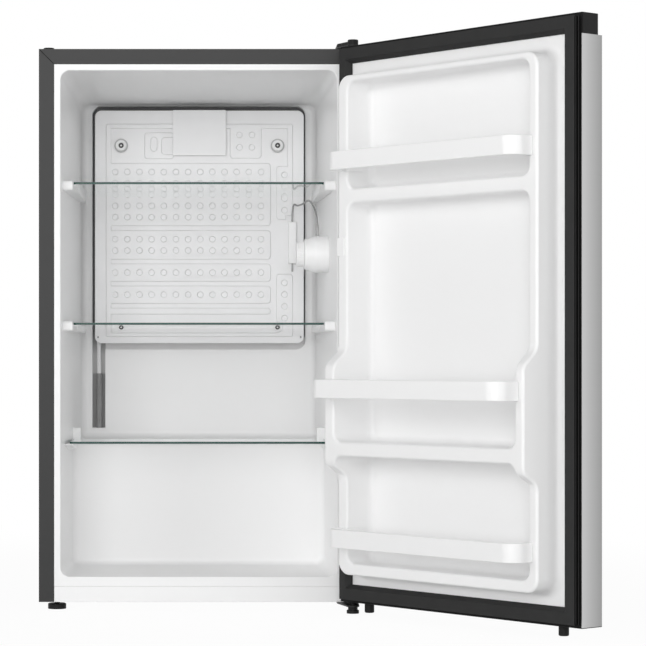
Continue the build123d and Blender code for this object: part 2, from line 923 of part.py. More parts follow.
def make_evaporator_plate():
    rear = plate_face + plate_thickness
    plate = rounded_panel(plate_left, plate_right, plate_low, plate_top, plate_radius, plate_face, rear)
    plate += extrude(upright_panel(plate_face) * raised_pattern(), amount=band_height)
    for x, z in plate_screws():
        plate -= rod(
            (x, plate_face - beyond, z), (0, 1, 0), plate_screw_diameter + 2 * press_gap, 2 * beyond)
    for x, z in plate_screws()[:2]:
        plate -= rod((x, plate_face - beyond, z), (0, 1, 0), washer_diameter + 2 * seam, beyond)
    for x in (plate_left + corner_hole_inset, plate_right - corner_hole_inset):
        place = (x, plate_face - beyond, plate_low + corner_hole_rise)
        plate -= rod(place, (0, 1, 0), corner_hole_diameter, 2 * beyond)
    return plate


def make_evaporator_backing():
    """Dark foam sheet on the floor of the recess and of the pipe channel."""
    start = recess_floor - backing_thickness
    side = recess_half - seam
    sheet_form = rounded_panel(
        -side, side, plate_low, recess_top - seam, recess_radius - seam, start, recess_floor)
    sheet_form += slab(
        -side, -recess_half + channel_width - seam, start, recess_floor, channel_foot + seam,
        plate_low + recess_radius)
    for x, z in plate_screws():
        sheet_form -= rod((x, start - 1, z), (0, 1, 0), post_diameter + 2 * press_gap, backing_thickness + 2)
    return sheet_form


def make_tube_joint_cover():
    low = plate_top - joint_cover_height
    left = plate_middle - joint_cover_width / 2
    right = left + joint_cover_width
    deck = plate_face - band_height
    cover = rounded_panel(left, right, low, plate_top, joint_cover_wall * 2, deck - joint_cover_depth, deck)
    cover -= slab(
        left + joint_cover_wall, right - joint_cover_wall,
        deck - joint_cover_depth + joint_cover_wall, deck + 1,
        low + joint_cover_wall, plate_top - joint_cover_wall)
    return cover


def make_evaporator_posts():
    rear = plate_face + plate_thickness
    return [
        rod((x, rear, z), (0, 1, 0), post_diameter, recess_floor - rear)
        - rod((x, plate_face, z), (0, 1, 0), plate_screw_diameter + 2 * press_gap, plate_screw_length)
        for x, z in plate_screws()
    ]


def make_evaporator_washers():
    washers = []
    for x, z in plate_screws()[:2]:
        foot = rod((x, plate_face, z), (0, -1, 0), washer_diameter, washer_height / 2)
        crown = rod((x, plate_face, z), (0, -1, 0), washer_diameter - 2 * washer_step, washer_height)
        bore = rod(
            (x, plate_face + beyond, z), (0, -1, 0), plate_screw_diameter + 2 * press_gap, 2 * beyond)
        well = rod(
            (x, plate_face - washer_height / 2, z), (0, -1, 0), plate_screw_head + 2 * seam, washer_height)
        washers.append(foot + crown - bore - well)
    return washers


def make_evaporator_screws():
    screws = []
    for index, (x, z) in enumerate(plate_screws()):
        seat = plate_face - washer_height / 2 if index < 2 else plate_face
        shank_end = plate_face + plate_screw_length - plate_screw_end_gap
        head = rod((x, seat, z), (0, -1, 0), plate_screw_head, plate_screw_head_height)
        head = fillet(head.edges().group_by(Axis.Y)[0], plate_screw_head_height / 3)
        shank = rod((x, seat, z), (0, 1, 0), plate_screw_diameter, shank_end - seat)
        screws.append(head + shank)
    return screws


def make_thermostat_housing():
    base_x = thermostat_wall_x - thermostat_base_reach
    tip = (thermostat_face_x, thermostat_y, thermostat_z)
    cone_length = thermostat_reach - thermostat_base_reach
    neck = thermostat_neck_diameter / 2
    foot = thermostat_base_diameter / 2
    bends = [(cone_length * 0.3, neck + thermostat_shoulder), (cone_length * 0.8, foot)]
    far = thermostat_reach + beyond
    profile = make_face(Polyline((0, 0), (0, neck), *bends, (far, foot), (far, 0), close=True))
    for bend in bends:
        profile = fillet([profile.vertices().sort_by_distance(bend)[0]], thermostat_bend)
    axis_plane = Plane(origin=tip, x_dir=(1, 0, 0), z_dir=(0, -1, 0))
    outer = revolve(axis_plane * profile, axis=Axis(tip, (1, 0, 0)))
    inner = rod(
        (base_x - thermostat_wall, thermostat_y, thermostat_z), (1, 0, 0),
        thermostat_base_diameter - 4 * thermostat_wall, beyond * 2)
    inner += rod(
        (thermostat_face_x + thermostat_wall, thermostat_y, thermostat_z), (1, 0, 0),
        thermostat_neck_diameter - 4 * thermostat_wall, beyond)
    stem_hole = rod(
        (thermostat_face_x - 1, thermostat_y, thermostat_z), (1, 0, 0),
        dial_stem_diameter + 2 * running_fit, beyond)
    housing = (outer - inner - stem_hole) & cavity(0)
    return housing - capillary(2 * press_gap)


def make_thermostat_dial():
    face = thermostat_face_x - dial_gap
    dial = rod((face, thermostat_y, thermostat_z), (-1, 0, 0), dial_diameter, dial_height)
    dial = fillet(dial.edges().group_by(Axis.X)[0], dial_flute_diameter)
    for step in range(dial_flutes):
        turn = 2 * math.pi * step / dial_flutes
        y = thermostat_y + dial_diameter / 2 * math.cos(turn)
        z = thermostat_z + dial_diameter / 2 * math.sin(turn)
        dial -= rod((face + 1, y, z), (-1, 0, 0), dial_flute_diameter, dial_height - dial_flute_diameter)
    return dial + rod((face, thermostat_y, thermostat_z), (1, 0, 0), dial_stem_diameter, dial_stem_length)


def make_thermostat_switch():
    seat = thermostat_face_x + thermostat_wall
    switch = slab(
        seat, seat + switch_depth, thermostat_y - switch_width / 2, thermostat_y + switch_width / 2,
        thermostat_z - switch_width / 2, thermostat_z + switch_width / 2)
    return switch - rod(
        (seat - 1, thermostat_y, thermostat_z), (1, 0, 0),
        dial_stem_diameter + 2 * running_fit, dial_stem_length + 2)


def capillary_path():
    """From the housing's top, over an arch, and straight down through the sensor holder."""
    x0 = thermostat_wall_x - capillary_setback
    z0 = thermostat_z + thermostat_base_diameter / 2 - capillary_top_inset
    reach = holder_y - thermostat_y
    crown = z0 + capillary_arch_rise
    arch = Spline(
        (x0, thermostat_y, z0),
        (x0 - capillary_lean / 2, thermostat_y + reach / 4, crown - capillary_lean),
        (x0 - capillary_lean, thermostat_y + reach / 2, crown),
        (holder_x + capillary_lean / 2, holder_y - reach / 8, crown - capillary_lean / 4),
        (holder_x, holder_y, holder_top),
        tangents=[(0, 0, 1), (0, 0, -1)])
    return arch + Line((holder_x, holder_y, holder_top), (holder_x, holder_y, holder_low - capillary_tail))


def capillary(extra):
    """The sensing tube, with room round it where a clearance is given."""
    path = capillary_path()
    start = Plane(origin=path @ 0, z_dir=path % 0)
    return sweep(start * Circle((capillary_diameter + extra) / 2), path=path)


def make_capillary_tube():
    return capillary(0)


def make_sensor_holder():
    holder = slab(
        holder_x - holder_width / 2, holder_x + holder_width / 2,
        plate_face - holder_depth, plate_face, holder_low, holder_top)
    holder = fillet(holder.edges().group_by(Axis.Y)[0], plate_thickness)
    return holder - upright(
        holder_x, holder_y, holder_low - 1, holder_top + 1, capillary_diameter + 2 * press_gap)


def glass_panel(side, y0, y1, level):
    """A sheet of glass with round corners."""
    outline = Pos(0, (y0 + y1) / 2) * RectangleRounded(2 * side, y1 - y0, glass_radius)
    return extrude(Plane(origin=(0, 0, level)) * outline, amount=glass_thickness)


def make_glass_shelf_top():
    return glass_panel(shelf_half, front + shelf_front, front + shelf_front + shelf_depth, shelf_levels[0])


def make_glass_shelf_middle():
    return glass_panel(shelf_half, front + shelf_front, front + shelf_front + shelf_depth, shelf_levels[1])


def make_glass_shelf_bottom():
    start = front + low_shelf_front
    return glass_panel(low_shelf_half, start, start + low_shelf_depth, hump_top)


def hinge_outline(nose_y, nose_radius, nose_x):
    """Outline of a hinge plate: a strip on the cabinet with a round nose in front of it."""
    strip = Polygon(
        (half - hinge_plate_width, front + hinge_plate_run), (half - hinge_plate_width, front),
        (nose_x - nose_radius, nose_y), (nose_x + nose_radius, nose_y), (half - sheet, front),
        (half - sheet, front + hinge_plate_run), align=None)
    return strip + Pos(nose_x, nose_y) * Circle(nose_radius)


def make_top_hinge_bracket():
    outline = hinge_outline(hinge_y, hinge_nose_radius, hinge_x)
    plate = extrude(Plane(origin=(0, 0, roof)) * outline, amount=hinge_plate)
    over = roof + hinge_plate + 1
    plate -= upright(hinge_x, hinge_y, roof - 1, over, pin_diameter + 2 * press_gap)
    for y in hinge_screws_y:
        plate -= upright(hinge_screw_x, y, roof - 1, over, hinge_screw_diameter + 2 * press_gap)
    return plate


def make_top_hinge_pin():
    pin = upright(hinge_x, hinge_y, door_top - pin_reach, roof + hinge_plate, pin_diameter)
    return chamfer(pin.edges().group_by(Axis.Z)[0], pin_diameter / 8)


def make_top_hinge_cover():
    deck = roof + hinge_plate
    outline = hinge_outline(hinge_y, cover_cap_diameter / 2, hinge_x)
    cover = extrude(Plane(origin=(0, 0, deck)) * outline, amount=cover_height)
    cover = fillet(cover.edges().group_by(Axis.Z)[-1], cover_edge_radius)
    cap = upright(hinge_x, hinge_y, deck, deck + cover_cap_height, cover_cap_diameter)
    cover += fillet(cap.edges().group_by(Axis.Z)[-1], cover_edge_radius)
    for y in hinge_screws_y:
        ceiling = deck + cover_height - cover_wall
        cover -= upright(hinge_screw_x, y, deck - 1, ceiling, hinge_screw_head + 2 * seam)
    return cover


def screw(x, y, seat, way):
    """A pan-head screw at a place, with its head on the seat and its shank along the way."""
    head = rod((x, y, seat), (0, 0, -way), hinge_screw_head, hinge_screw_head_height)
    return head + rod((x, y, seat), (0, 0, way), hinge_screw_diameter, hinge_screw_length)


def make_top_hinge_screws():
    return [screw(hinge_screw_x, y, roof + hinge_plate, -1) for y in hinge_screws_y]


def make_bottom_hinge_bracket():
    low = base - hinge_plate
    plate = extrude(
        Plane(origin=(0, 0, low)) * hinge_outline(right_foot_y, foot_nose_radius, right_foot_x),
        amount=hinge_plate)
    plate -= upright(hinge_x, hinge_y, low - 1, base + 1, pin_diameter + 2 * press_gap)
    plate -= upright(right_foot_x, right_foot_y, low - 1, base + 1, right_stud_diameter + 2 * running_fit)
    for y in hinge_screws_y:
        plate -= upright(hinge_screw_x, y, low - 1, base + 1, hinge_screw_diameter + 2 * press_gap)
    return plate


def make_bottom_hinge_pin():
    pin = upright(hinge_x, hinge_y, base - hinge_plate, door_bottom + pin_reach, pin_diameter)
    return chamfer(pin.edges().group_by(Axis.Z)[-1], pin_diameter / 8)


def make_bottom_hinge_screws():
    return [screw(hinge_screw_x, y, base - hinge_plate, 1) for y in hinge_screws_y]


def make_hinge_hole_plug():
    cap = upright(plug_x, plug_y, roof, roof + plug_height, plug_diameter)
    cap = fillet(cap.edges().group_by(Axis.Z)[-1], plug_height / 3)
    return cap + upright(plug_x, plug_y, roof - plug_stem_length, roof, plug_stem_diameter)


def make_front_left_foot():
    pad = upright(left_foot_x, left_foot_y, 0, left_foot_height, left_foot_diameter)
    pad = fillet(pad.edges().group_by(Axis.Z)[-1], left_foot_height / 5)
    return pad + upright(left_foot_x, left_foot_y, left_foot_height, base + stud_length, stud_diameter)


def make_front_right_foot():
    low = base - hinge_plate - slide_gap / 2
    head = upright(right_foot_x, right_foot_y, 0, right_foot_head_height, right_foot_diameter)
    head = fillet(head.edges().group_by(Axis.Z)[-1], right_foot_head_height / 5)
    neck = upright(right_foot_x, right_foot_y, right_foot_head_height, low, right_foot_neck)
    stud = upright(right_foot_x, right_foot_y, low, base + right_stud_rise, right_stud_diameter)
    return head + neck + stud


def door_slab(u0, u1, h0, h1, z0, z1):
    """A block on the closed door: u from the hinge side, h from the inner face towards the cabinet."""
    return slab(half - u1, half - u0, door_face + h0, door_face + h1, z0, z1)


def door_panel(u0, u1, z0, z1, radius, h0, h1):
    """A plate on the closed door between two heights over its inner face, with round corners."""
    return rounded_panel(half - u1, half - u0, z0, z1, radius, door_face + h0, door_face + h1)


def door_bolt(z0, z1, diameter):
    """A vertical bar on the hinge axis."""
    return upright(hinge_x, hinge_y, z0, z1, diameter)


def peg_places():
    """Places of the pegs under the closed door."""
    y = door_face - peg_face_inset
    return [(half - peg_inset, y), (-half + peg_inset, y)]


def make_door_skin():
    tall = [door_bottom + bottom_cap_edge, skin_top]
    skin = door_slab(0, cabinet_width, -door_thickness, 0, *tall)
    skin = fillet(skin.edges().filter_by(Axis.Z).group_by(Axis.Y)[0], door_skin_radius)
    hollow = door_slab(
        sheet, cabinet_width - sheet, -door_thickness + sheet, 1, tall[0] - 1, tall[1] + 1)
    hollow = fillet(hollow.edges().filter_by(Axis.Z).group_by(Axis.Y)[0], door_skin_radius - sheet)
    return skin - hollow


def make_door_top_cap():
    cap = door_slab(
        0, cabinet_width, -door_thickness + cap_setback, -frame_thickness, skin_top, door_top)
    cap = fillet(cap.edges().filter_by(Axis.Z).group_by(Axis.Y)[0], cap_radius)
    inside = sheet + seam
    plug = door_slab(
        inside, cabinet_width - inside, -door_thickness + cap_setback, -frame_thickness,
        skin_top - cap_plug, skin_top)
    grip = slab(
        -grip_length / 2, grip_length / 2, door_face - door_thickness, door_face - door_thickness
        + cap_setback + grip_depth, door_top - cap_height / 2 - grip_height / 2,
        door_top - cap_height / 2 + grip_height / 2)
    grip = fillet(grip.edges().filter_by(Axis.X).group_by(Axis.Y)[-1], grip_height / 4)
    socket = door_bolt(door_top - pin_reach - 2, door_top + 1, bush_diameter + 2 * press_gap)
    return cap + plug - grip - socket


def make_door_bottom_cap():
    edge = door_slab(0, cabinet_width, -door_thickness, 0, door_bottom, door_bottom + bottom_cap_edge)
    edge = fillet(edge.edges().filter_by(Axis.Z).group_by(Axis.Y)[0], door_skin_radius)
    inside = sheet + seam
    plug = door_slab(
        inside, cabinet_width - inside, -door_thickness + inside, -frame_thickness,
        door_bottom + bottom_cap_edge, door_bottom + bottom_cap_plug)
    plug = fillet(plug.edges().filter_by(Axis.Z).group_by(Axis.Y)[0], door_skin_radius - inside)
    socket = door_bolt(door_bottom - 1, door_bottom + pin_reach + 2, bush_diameter + 2 * press_gap)
    cap = edge + plug - socket
    for x, y in peg_places():
        cap -= upright(
            x, y, door_bottom - 1, door_bottom + peg_stem_length + 1, peg_stem_diameter + 2 * press_gap)
    return cap


def make_door_edge_frame():
    low = door_bottom + bottom_cap_edge
    frame = door_slab(sheet, cabinet_width - sheet, -frame_thickness, 0, low, skin_top)
    frame += door_slab(0, cabinet_width, -frame_thickness, 0, skin_top, door_top)
    return frame - door_slab(
        frame_width, cabinet_width - frame_width, -frame_thickness - 1, 1,
        low + frame_width, door_top - frame_width)


def bulge_profile(grow):
    """The deeper part of the dike beside the middle bar, in side view, with an S bend at each end."""
    crest = door_face + dike_height
    swell = door_face + bulge_height
    foot = bulge_low - bulge_run_low
    head = bulge_high + bulge_run_high
    points = [
        (door_face, foot - bulge_run_low), (crest, foot - bulge_run_low), (crest, foot),
        (swell, bulge_low), (swell, bulge_high), (crest, head), (crest, head + bulge_run_high),
        (door_face, head + bulge_run_high)]
    outline = make_face(Polyline(*points, close=True))
    for level, bend in ((foot, bulge_bend_low), (bulge_low, bulge_bend_low),
                        (bulge_high, bulge_bend_high), (head, bulge_bend_high)):
        corner = [vertex for vertex in outline.vertices() if abs(vertex.Y - level) < 0.01]
        outline = fillet(corner, bend)
    return offset(outline, -grow) if grow else outline


def edges_at(shape, y):
    """The edges of a shape that lie in one plane across the door."""
    return [
        edge for edge in shape.edges()
        if abs((edge @ 0).Y - y) < 0.01 and abs((edge @ 1).Y - y) < 0.01
    ]


def fold(shape, edge):
    """The angle between the two faces that meet at an edge."""
    sides = [face for face in shape.faces() if any(edge.is_same(other) for other in face.edges())]
    return sides[0].normal_at(edge @ 0.5).get_angle(sides[1].normal_at(edge @ 0.5))


def door_form(grow, edge):
    """The formed inner side of the door, shrunk by the liner's wall where its back is wanted."""
    low = door_bottom + bottom_cap_edge
    body = door_slab(
        edge, cabinet_width - edge, -door_thickness + sheet, -grow, low + edge, door_top - edge)
    u0 = dike_hinge_inset + grow
    u1 = cabinet_width - dike_free_inset - grow
    dike = door_panel(
        u0, u1, dike_low + grow, dike_high - grow, dike_corner_radius - grow, -frame_thickness - grow,
        dike_height - grow)
    side_plane = Plane(origin=(half - u1, 0, 0), x_dir=(0, 1, 0), z_dir=(1, 0, 0))
    bulge = extrude(side_plane * bulge_profile(grow), amount=u1 - u0)
    body += dike + bulge
    p0 = door_pocket_inset - grow
    p1 = cabinet_width - p0
    pockets = [
        (low_pocket_floor, low_pocket_top), (low_pocket_top + shelf_rib, high_pocket_floor - shelf_rib),
        (high_pocket_floor, high_pocket_top)]
    for z0, z1 in pockets:
        body -= door_panel(
            p0, p1, z0 - grow, z1 + grow, door_pocket_radius + grow,
            -door_pocket_depth - grow, bulge_height + beyond)
    pocket_floors = edges_at(body, door_face - door_pocket_depth - grow)
    body = fillet(pocket_floors, door_pocket_floor_radius + grow)
    roots = [
        root for root in edges_at(body, door_face - grow)
        if fold(body, root) > 30 and half - u1 - 1 < (root @ 0.5).X < half - u0 + 1
        and dike_low - 1 < (root @ 0.5).Z < dike_high + 1
    ]
    body = fillet(roots, dike_root_radius + grow)
    lowest_crest = door_face + dike_height - grow - 1
    crests = [
        crest for crest in body.edges()
        if min((crest @ t).Y for t in (0, 0.5, 1)) > lowest_crest and fold(body, crest) > 30
    ]
    return fillet(crests, dike_crest_radius - grow)


def make_door_liner():
    return door_form(0, frame_width + seam) - door_form(liner_wall, sheet)


def make_door_foam():
    foam = door_form(liner_wall, sheet)
    foam -= door_slab(
        0, cabinet_width, -door_thickness, 0, door_bottom, door_bottom + bottom_cap_plug)
    foam -= door_slab(0, cabinet_width, -door_thickness, 0, skin_top - cap_plug, door_top)
    corner = foam.edges().filter_by(Axis.Z).group_by(Axis.Y)[0]
    return fillet(corner, door_skin_radius - sheet)


def door_window(inset, h):
    """A rectangle across the closed door, drawn in from its edges, at a height over its face."""
    outline = Pos(0, (door_bottom + door_top) / 2) * Rectangle(
        cabinet_width - 2 * inset, door_top - door_bottom - 2 * inset)
    return upright_panel(door_face + h) * outline


def make_door_gasket():
    """A ring with two grooves round its outside and a flap that slopes in to the door's liner."""
    groove = (gasket_height - gasket_base - gasket_ridge - gasket_lip) / 2
    layers = [
        (0, gasket_base), (gasket_groove_depth, groove), (gasket_ridge_inset, gasket_ridge),
        (gasket_groove_depth, groove), (0, gasket_lip)]
    gasket = None
    level = 0
    for inset, height in layers:
        edge = gasket_outer_inset + inset
        ring = door_slab(
            gasket_hinge_inset + inset, cabinet_width - edge, level, level + height,
            door_bottom + edge, door_top - edge)
        gasket = ring if gasket is None else gasket + ring
        level += height
    flap_edge = gasket_inner_inset + gasket_flap_width
    gasket -= extrude(door_window(flap_edge, -1), amount=-gasket_flap_foot - 1)
    return gasket - loft(
        [door_window(flap_edge, gasket_flap_foot), door_window(gasket_inner_inset, gasket_height)], ruled=True)


def retainer_bar(level, crest, stand):
    """A retainer bar bridging the dike, standing on its crest at a given height over the door's face."""
    plane = Plane(origin=(0, 0, level))
    side = half - bar_inset
    reach = crest + stand
    outer = slab(-side, side, door_face + crest + seam, door_face + reach, 0, bar_height)
    outer = fillet(outer.edges().filter_by(Axis.Z).group_by(Axis.Y)[-1], bar_end_radius)
    inner = slab(
        -side + bar_wall, side - bar_wall, door_face, door_face + reach - bar_wall, -1, bar_height + 1)
    inner = fillet(inner.edges().filter_by(Axis.Z).group_by(Axis.Y)[-1], bar_end_radius - bar_wall)
    bar = outer - inner
    pocket_side = half - door_pocket_inset - seam
    foot = slab(
        pocket_side - bar_wall, side - 1, door_face + crest + seam,
        door_face + crest + seam + bar_wall, 0, bar_height)
    tongue = slab(
        pocket_side - bar_wall, pocket_side, door_face + crest - bar_tongue,
        door_face + crest + seam + bar_wall, 0, bar_height)
    for piece in both_sides(foot + tongue):
        bar += piece
    return plane * bar


def make_door_bar_top():
    return retainer_bar(high_pocket_floor + bar_rise, dike_height, bar_reach)


def make_door_bar_middle():
    return retainer_bar(bulge_high - bar_bulge_gap - bar_height, bulge_height, middle_bar_reach)


def make_door_bar_low():
    return retainer_bar(low_pocket_floor + bar_rise, dike_height, bar_reach)


def make_door_magnet_cap():
    low = door_bottom + magnet_level
    cap = door_slab(
        dike_hinge_inset, dike_hinge_inset + magnet_width, dike_height, dike_height + magnet_rise,
        low, low + magnet_length)
    return fillet(cap.edges().group_by(Axis.Y)[-1], magnet_rise / 3)


def make_door_bushes():
    low_bush = door_bolt(base + bush_shoulder_gap, door_bottom + pin_reach + 1, bush_diameter)
    low_bush -= door_bolt(0, door_bottom + pin_reach + running_fit, pin_diameter + 2 * running_fit)
    high_bush = door_bolt(door_top - pin_reach - 1, door_top, bush_diameter)
    high_bush -= door_bolt(door_top - pin_reach - running_fit, roof, pin_diameter + 2 * running_fit)
    return [low_bush, high_bush]


def make_door_pegs():
    pegs = []
    for x, y in peg_places():
        peg = upright(x, y, peg_floor_gap, door_bottom, peg_diameter)
        peg = fillet(peg.edges().group_by(Axis.Z)[0], peg_diameter / 8)
        pegs.append(peg + upright(x, y, door_bottom, door_bottom + peg_stem_length, peg_stem_diameter))
    return pegs


def opened(piece):
    """A door piece turned about the hinge axis to the open door's place."""
    return piece.rotate(Axis((hinge_x, hinge_y, 0), (0, 0, 1)), door_rest_angle)


def solids_of(made):
    """The solids of a finished piece, which is one shape or a list of shapes."""
    shapes = made if isinstance(made, list) else [made]
    return [solid for shape in shapes for solid in shape.solids()]


cabinet_pieces = {
    "outer_cabinet": make_outer_cabinet,
    "back_panel": make_back_panel,
    "machine_bay_wall": make_machine_bay_wall,
    "base_plate": make_base_plate,
    "cabinet_foam": make_cabinet_foam,
    "inner_liner": make_inner_liner,
    "front_plinth": make_front_plinth,
    "evaporator_plate": make_evaporator_plate,
    "evaporator_backing": make_evaporator_backing,
    "tube_joint_cover": make_tube_joint_cover,
    "evaporator_posts": make_evaporator_posts,
    "evaporator_washers": make_evaporator_washers,
    "evaporator_screws": make_evaporator_screws,
    "suction_line": make_suction_line,
    "pipe_sleeve": make_pipe_sleeve,
    "thermostat_housing": make_thermostat_housing,
    "thermostat_switch": make_thermostat_switch,
    "thermostat_dial": make_thermostat_dial,
    "capillary_tube": make_capillary_tube,
    "sensor_holder": make_sensor_holder,
    "glass_shelf_top": make_glass_shelf_top,
    "glass_shelf_middle": make_glass_shelf_middle,
    "glass_shelf_bottom": make_glass_shelf_bottom,
    "compressor_rail": make_compressor_rail,
    "compressor_shell": make_compressor_shell,
    "compressor_motor": make_compressor_motor,
    "compressor_mount": make_compressor_mount,
    "compressor_grommets": make_compressor_grommets,
    "compressor_bolts": make_compressor_bolts,
    "terminal_cover": make_terminal_cover,
    "cord_gland": make_cord_gland,
    "condenser_tube": make_condenser_tube,
    "discharge_line": make_discharge_line,
    "filter_drier": make_filter_drier,
    "top_hinge_bracket": make_top_hinge_bracket,
    "top_hinge_pin": make_top_hinge_pin,
    "top_hinge_cover": make_top_hinge_cover,
    "top_hinge_screws": make_top_hinge_screws,
    "bottom_hinge_bracket": make_bottom_hinge_bracket,
    "bottom_hinge_pin": make_bottom_hinge_pin,
    "bottom_hinge_screws": make_bottom_hinge_screws,
    "hinge_hole_plug": make_hinge_hole_plug,
    "front_left_foot": make_front_left_foot,
    "front_right_foot": make_front_right_foot,
    "rear_feet": make_rear_feet,
}

door_pieces = {
    "door_skin": make_door_skin,
    "door_top_cap": make_door_top_cap,
    "door_bottom_cap": make_door_bottom_cap,
    "door_edge_frame": make_door_edge_frame,
    "door_liner": make_door_liner,
    "door_foam": make_door_foam,
    "door_gasket": make_door_gasket,
    "door_bar_top": make_door_bar_top,
    "door_bar_middle": make_door_bar_middle,
    "door_bar_low": make_door_bar_low,
    "door_magnet_cap": make_door_magnet_cap,
    "door_bushes": make_door_bushes,
    "door_pegs": make_door_pegs,
}

for name, make in cabinet_pieces.items():
    export_step(Compound(children=solids_of(make())), f"parts/{name}.step")

for name, make in door_pieces.items():
    turned = [opened(solid) for solid in solids_of(make())]
    export_step(Compound(children=turned), f"parts/{name}.step")
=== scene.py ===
import json
import math

import bpy
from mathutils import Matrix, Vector


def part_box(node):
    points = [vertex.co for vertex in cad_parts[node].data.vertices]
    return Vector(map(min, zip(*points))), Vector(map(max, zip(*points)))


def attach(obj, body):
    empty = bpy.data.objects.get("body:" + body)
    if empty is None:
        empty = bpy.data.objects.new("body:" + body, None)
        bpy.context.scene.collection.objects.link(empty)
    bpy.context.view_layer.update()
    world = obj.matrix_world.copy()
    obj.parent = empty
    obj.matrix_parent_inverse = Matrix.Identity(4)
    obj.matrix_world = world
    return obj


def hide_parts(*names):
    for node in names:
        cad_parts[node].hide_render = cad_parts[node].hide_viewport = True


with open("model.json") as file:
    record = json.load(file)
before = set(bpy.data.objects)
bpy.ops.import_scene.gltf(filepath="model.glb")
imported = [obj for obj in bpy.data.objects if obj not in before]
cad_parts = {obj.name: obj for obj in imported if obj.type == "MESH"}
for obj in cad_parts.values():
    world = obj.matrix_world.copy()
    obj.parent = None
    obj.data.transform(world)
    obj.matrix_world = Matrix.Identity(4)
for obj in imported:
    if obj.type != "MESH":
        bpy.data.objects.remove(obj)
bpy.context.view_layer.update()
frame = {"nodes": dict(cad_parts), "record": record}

# Sizes are in metres and angles in degrees, unless a name says otherwise.
MM = 0.001
ACROSS = Vector((1, 0, 0))
UP = Vector((0, 0, 1))

# The view: a level camera far in front of the fridge, shifted so that the open door is in the picture.
PICTURE_SIDE = 646
FOCAL_PIXELS = 2440.0
AXIS_PIXEL_X = 198.8
AXIS_PIXEL_Y = 358.0
CAMERA_DISTANCE = 3.6
CAMERA_HEIGHT = 0.372
CAMERA_RANGE = 100.0
SENSOR_WIDTH_MM = 36.0

# The stage: a floor whose own glow grows with the distance from the fridge, and a dim sky.
FLOOR_SIDE = 40.0
FLOOR_WHITE = 0.9
NEAR_GLOW = 0.96
FAR_GLOW = 1.0
FADE_FROM = 0.5
FADE_TO = 1.6
SKY_STRENGTH = 0.3

# The lamps: each one's place, the point it faces, its side and its power in watts.
SOFTBOXES = {
    "front_softbox": ((-0.6, -4.6, 0.85), (0.0, 0.0, 0.4), 2.6, 92.0),
    "left_softbox": ((-3.9, -2.7, 1.1), (0.0, -0.2, 0.4), 2.0, 44.0),
    "right_softbox": ((3.2, -3.4, 0.9), (0.0, -0.1, 0.4), 2.0, 34.0),
}

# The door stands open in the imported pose. One direction runs along it from the hinge, and one runs
# through it from the silver face to the white one.
DOOR_OPEN = math.radians(128.8)
door_along = Vector((-math.cos(DOOR_OPEN), -math.sin(DOOR_OPEN), 0.0))
door_inward = Vector((-math.sin(DOOR_OPEN), math.cos(DOOR_OPEN), 0.0))

# Joint lines in the corners of the front flange
MITRE_SHALLOW = 0.02 * MM
MITRE_DEEP = 0.45 * MM
MITRE_SLANT = 0.05

# Grooves round the door's gasket, painted darker as the shade in them
GROOVE_DEPTH = 3.0 * MM
GROOVE_SPREAD = 0.6 * MM
GASKET_RIM = 0.3 * MM
FACING = 0.9

# The plate's screws and washers: distances from a screw's axis between which a painted shade or painted
# highlight changes
SCREW_HEAD = 7.5 * MM
PAINTED_HIGHLIGHT_RADII = (1.0 * MM, 2.0 * MM)
WASHER_WELL_SHADE = (3.9 * MM, 4.6 * MM)
WASHER_FOOT_SHADE = (8.3 * MM, 9.3 * MM)

# Heights over which the painted shade on the grey foam behind the plate changes
CHANNEL_SHADE_FADE = 20.0 * MM
SLEEVE_SHADE_FADE = 2.0 * MM

# Rounded edges of thin trim: the width on each piece in millimetres, and what counts as an edge
EDGE_WIDTHS_MM = {
    "evaporator_plate": 0.9,
    "tube_joint_cover": 0.4,
    "evaporator_washers": 0.5,
    "sensor_holder": 0.6,
    "thermostat_housing": 0.7,
    "thermostat_dial": 0.4,
    "door_bar_top": 1.2,
    "door_bar_middle": 1.2,
    "door_bar_low": 1.2,
    "door_bottom_cap": 0.3,
    "door_edge_frame": 0.4,
    "door_gasket": 0.5,
    "door_magnet_cap": 0.3,
    "front_plinth": 0.5,
    "bottom_hinge_bracket": 0.4,
    "top_hinge_bracket": 0.4,
}
EDGE_SEGMENTS = 3
SHARP_ANGLE = math.radians(35.0)
MERGE_DISTANCE = 0.002 * MM

nodes = frame["nodes"]
slot_of_node = {row["node"]: row["material_slot"] for row in frame["record"]["subparts"]}
body_of_node = {
    node: body for body, members in frame["record"]["behaviour"]["bodies"].items() for node in members
}
cabinet_low, cabinet_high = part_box("outer_cabinet")
front_y = cabinet_low.y


class Wire:
    """A shader socket: arithmetic on it adds Math nodes to its finish."""

    def __init__(self, finish, socket):
        self.finish = finish
        self.socket = socket

    def maths(self, operation, *values):
        """A Math node on some values, or on this socket alone."""
        sockets = {f"_{order}": value for order, value in enumerate(values or (self,))}
        return self.finish.node("ShaderNodeMath", {"operation": operation}, **sockets)

    def __add__(self, other):
        return self.maths("ADD", self, other)

    def __radd__(self, other):
        return self.maths("ADD", other, self)

    def __sub__(self, other):
        return self.maths("SUBTRACT", self, other)

    def __rsub__(self, other):
        return self.maths("SUBTRACT", other, self)

    def __mul__(self, other):
        return self.maths("MULTIPLY", self, other)

    def __rmul__(self, other):
        return self.maths("MULTIPLY", other, self)

    def __pow__(self, other):
        return self.maths("POWER", self, other)

    def __or__(self, other):
        return self.maths("MAXIMUM", self, other)


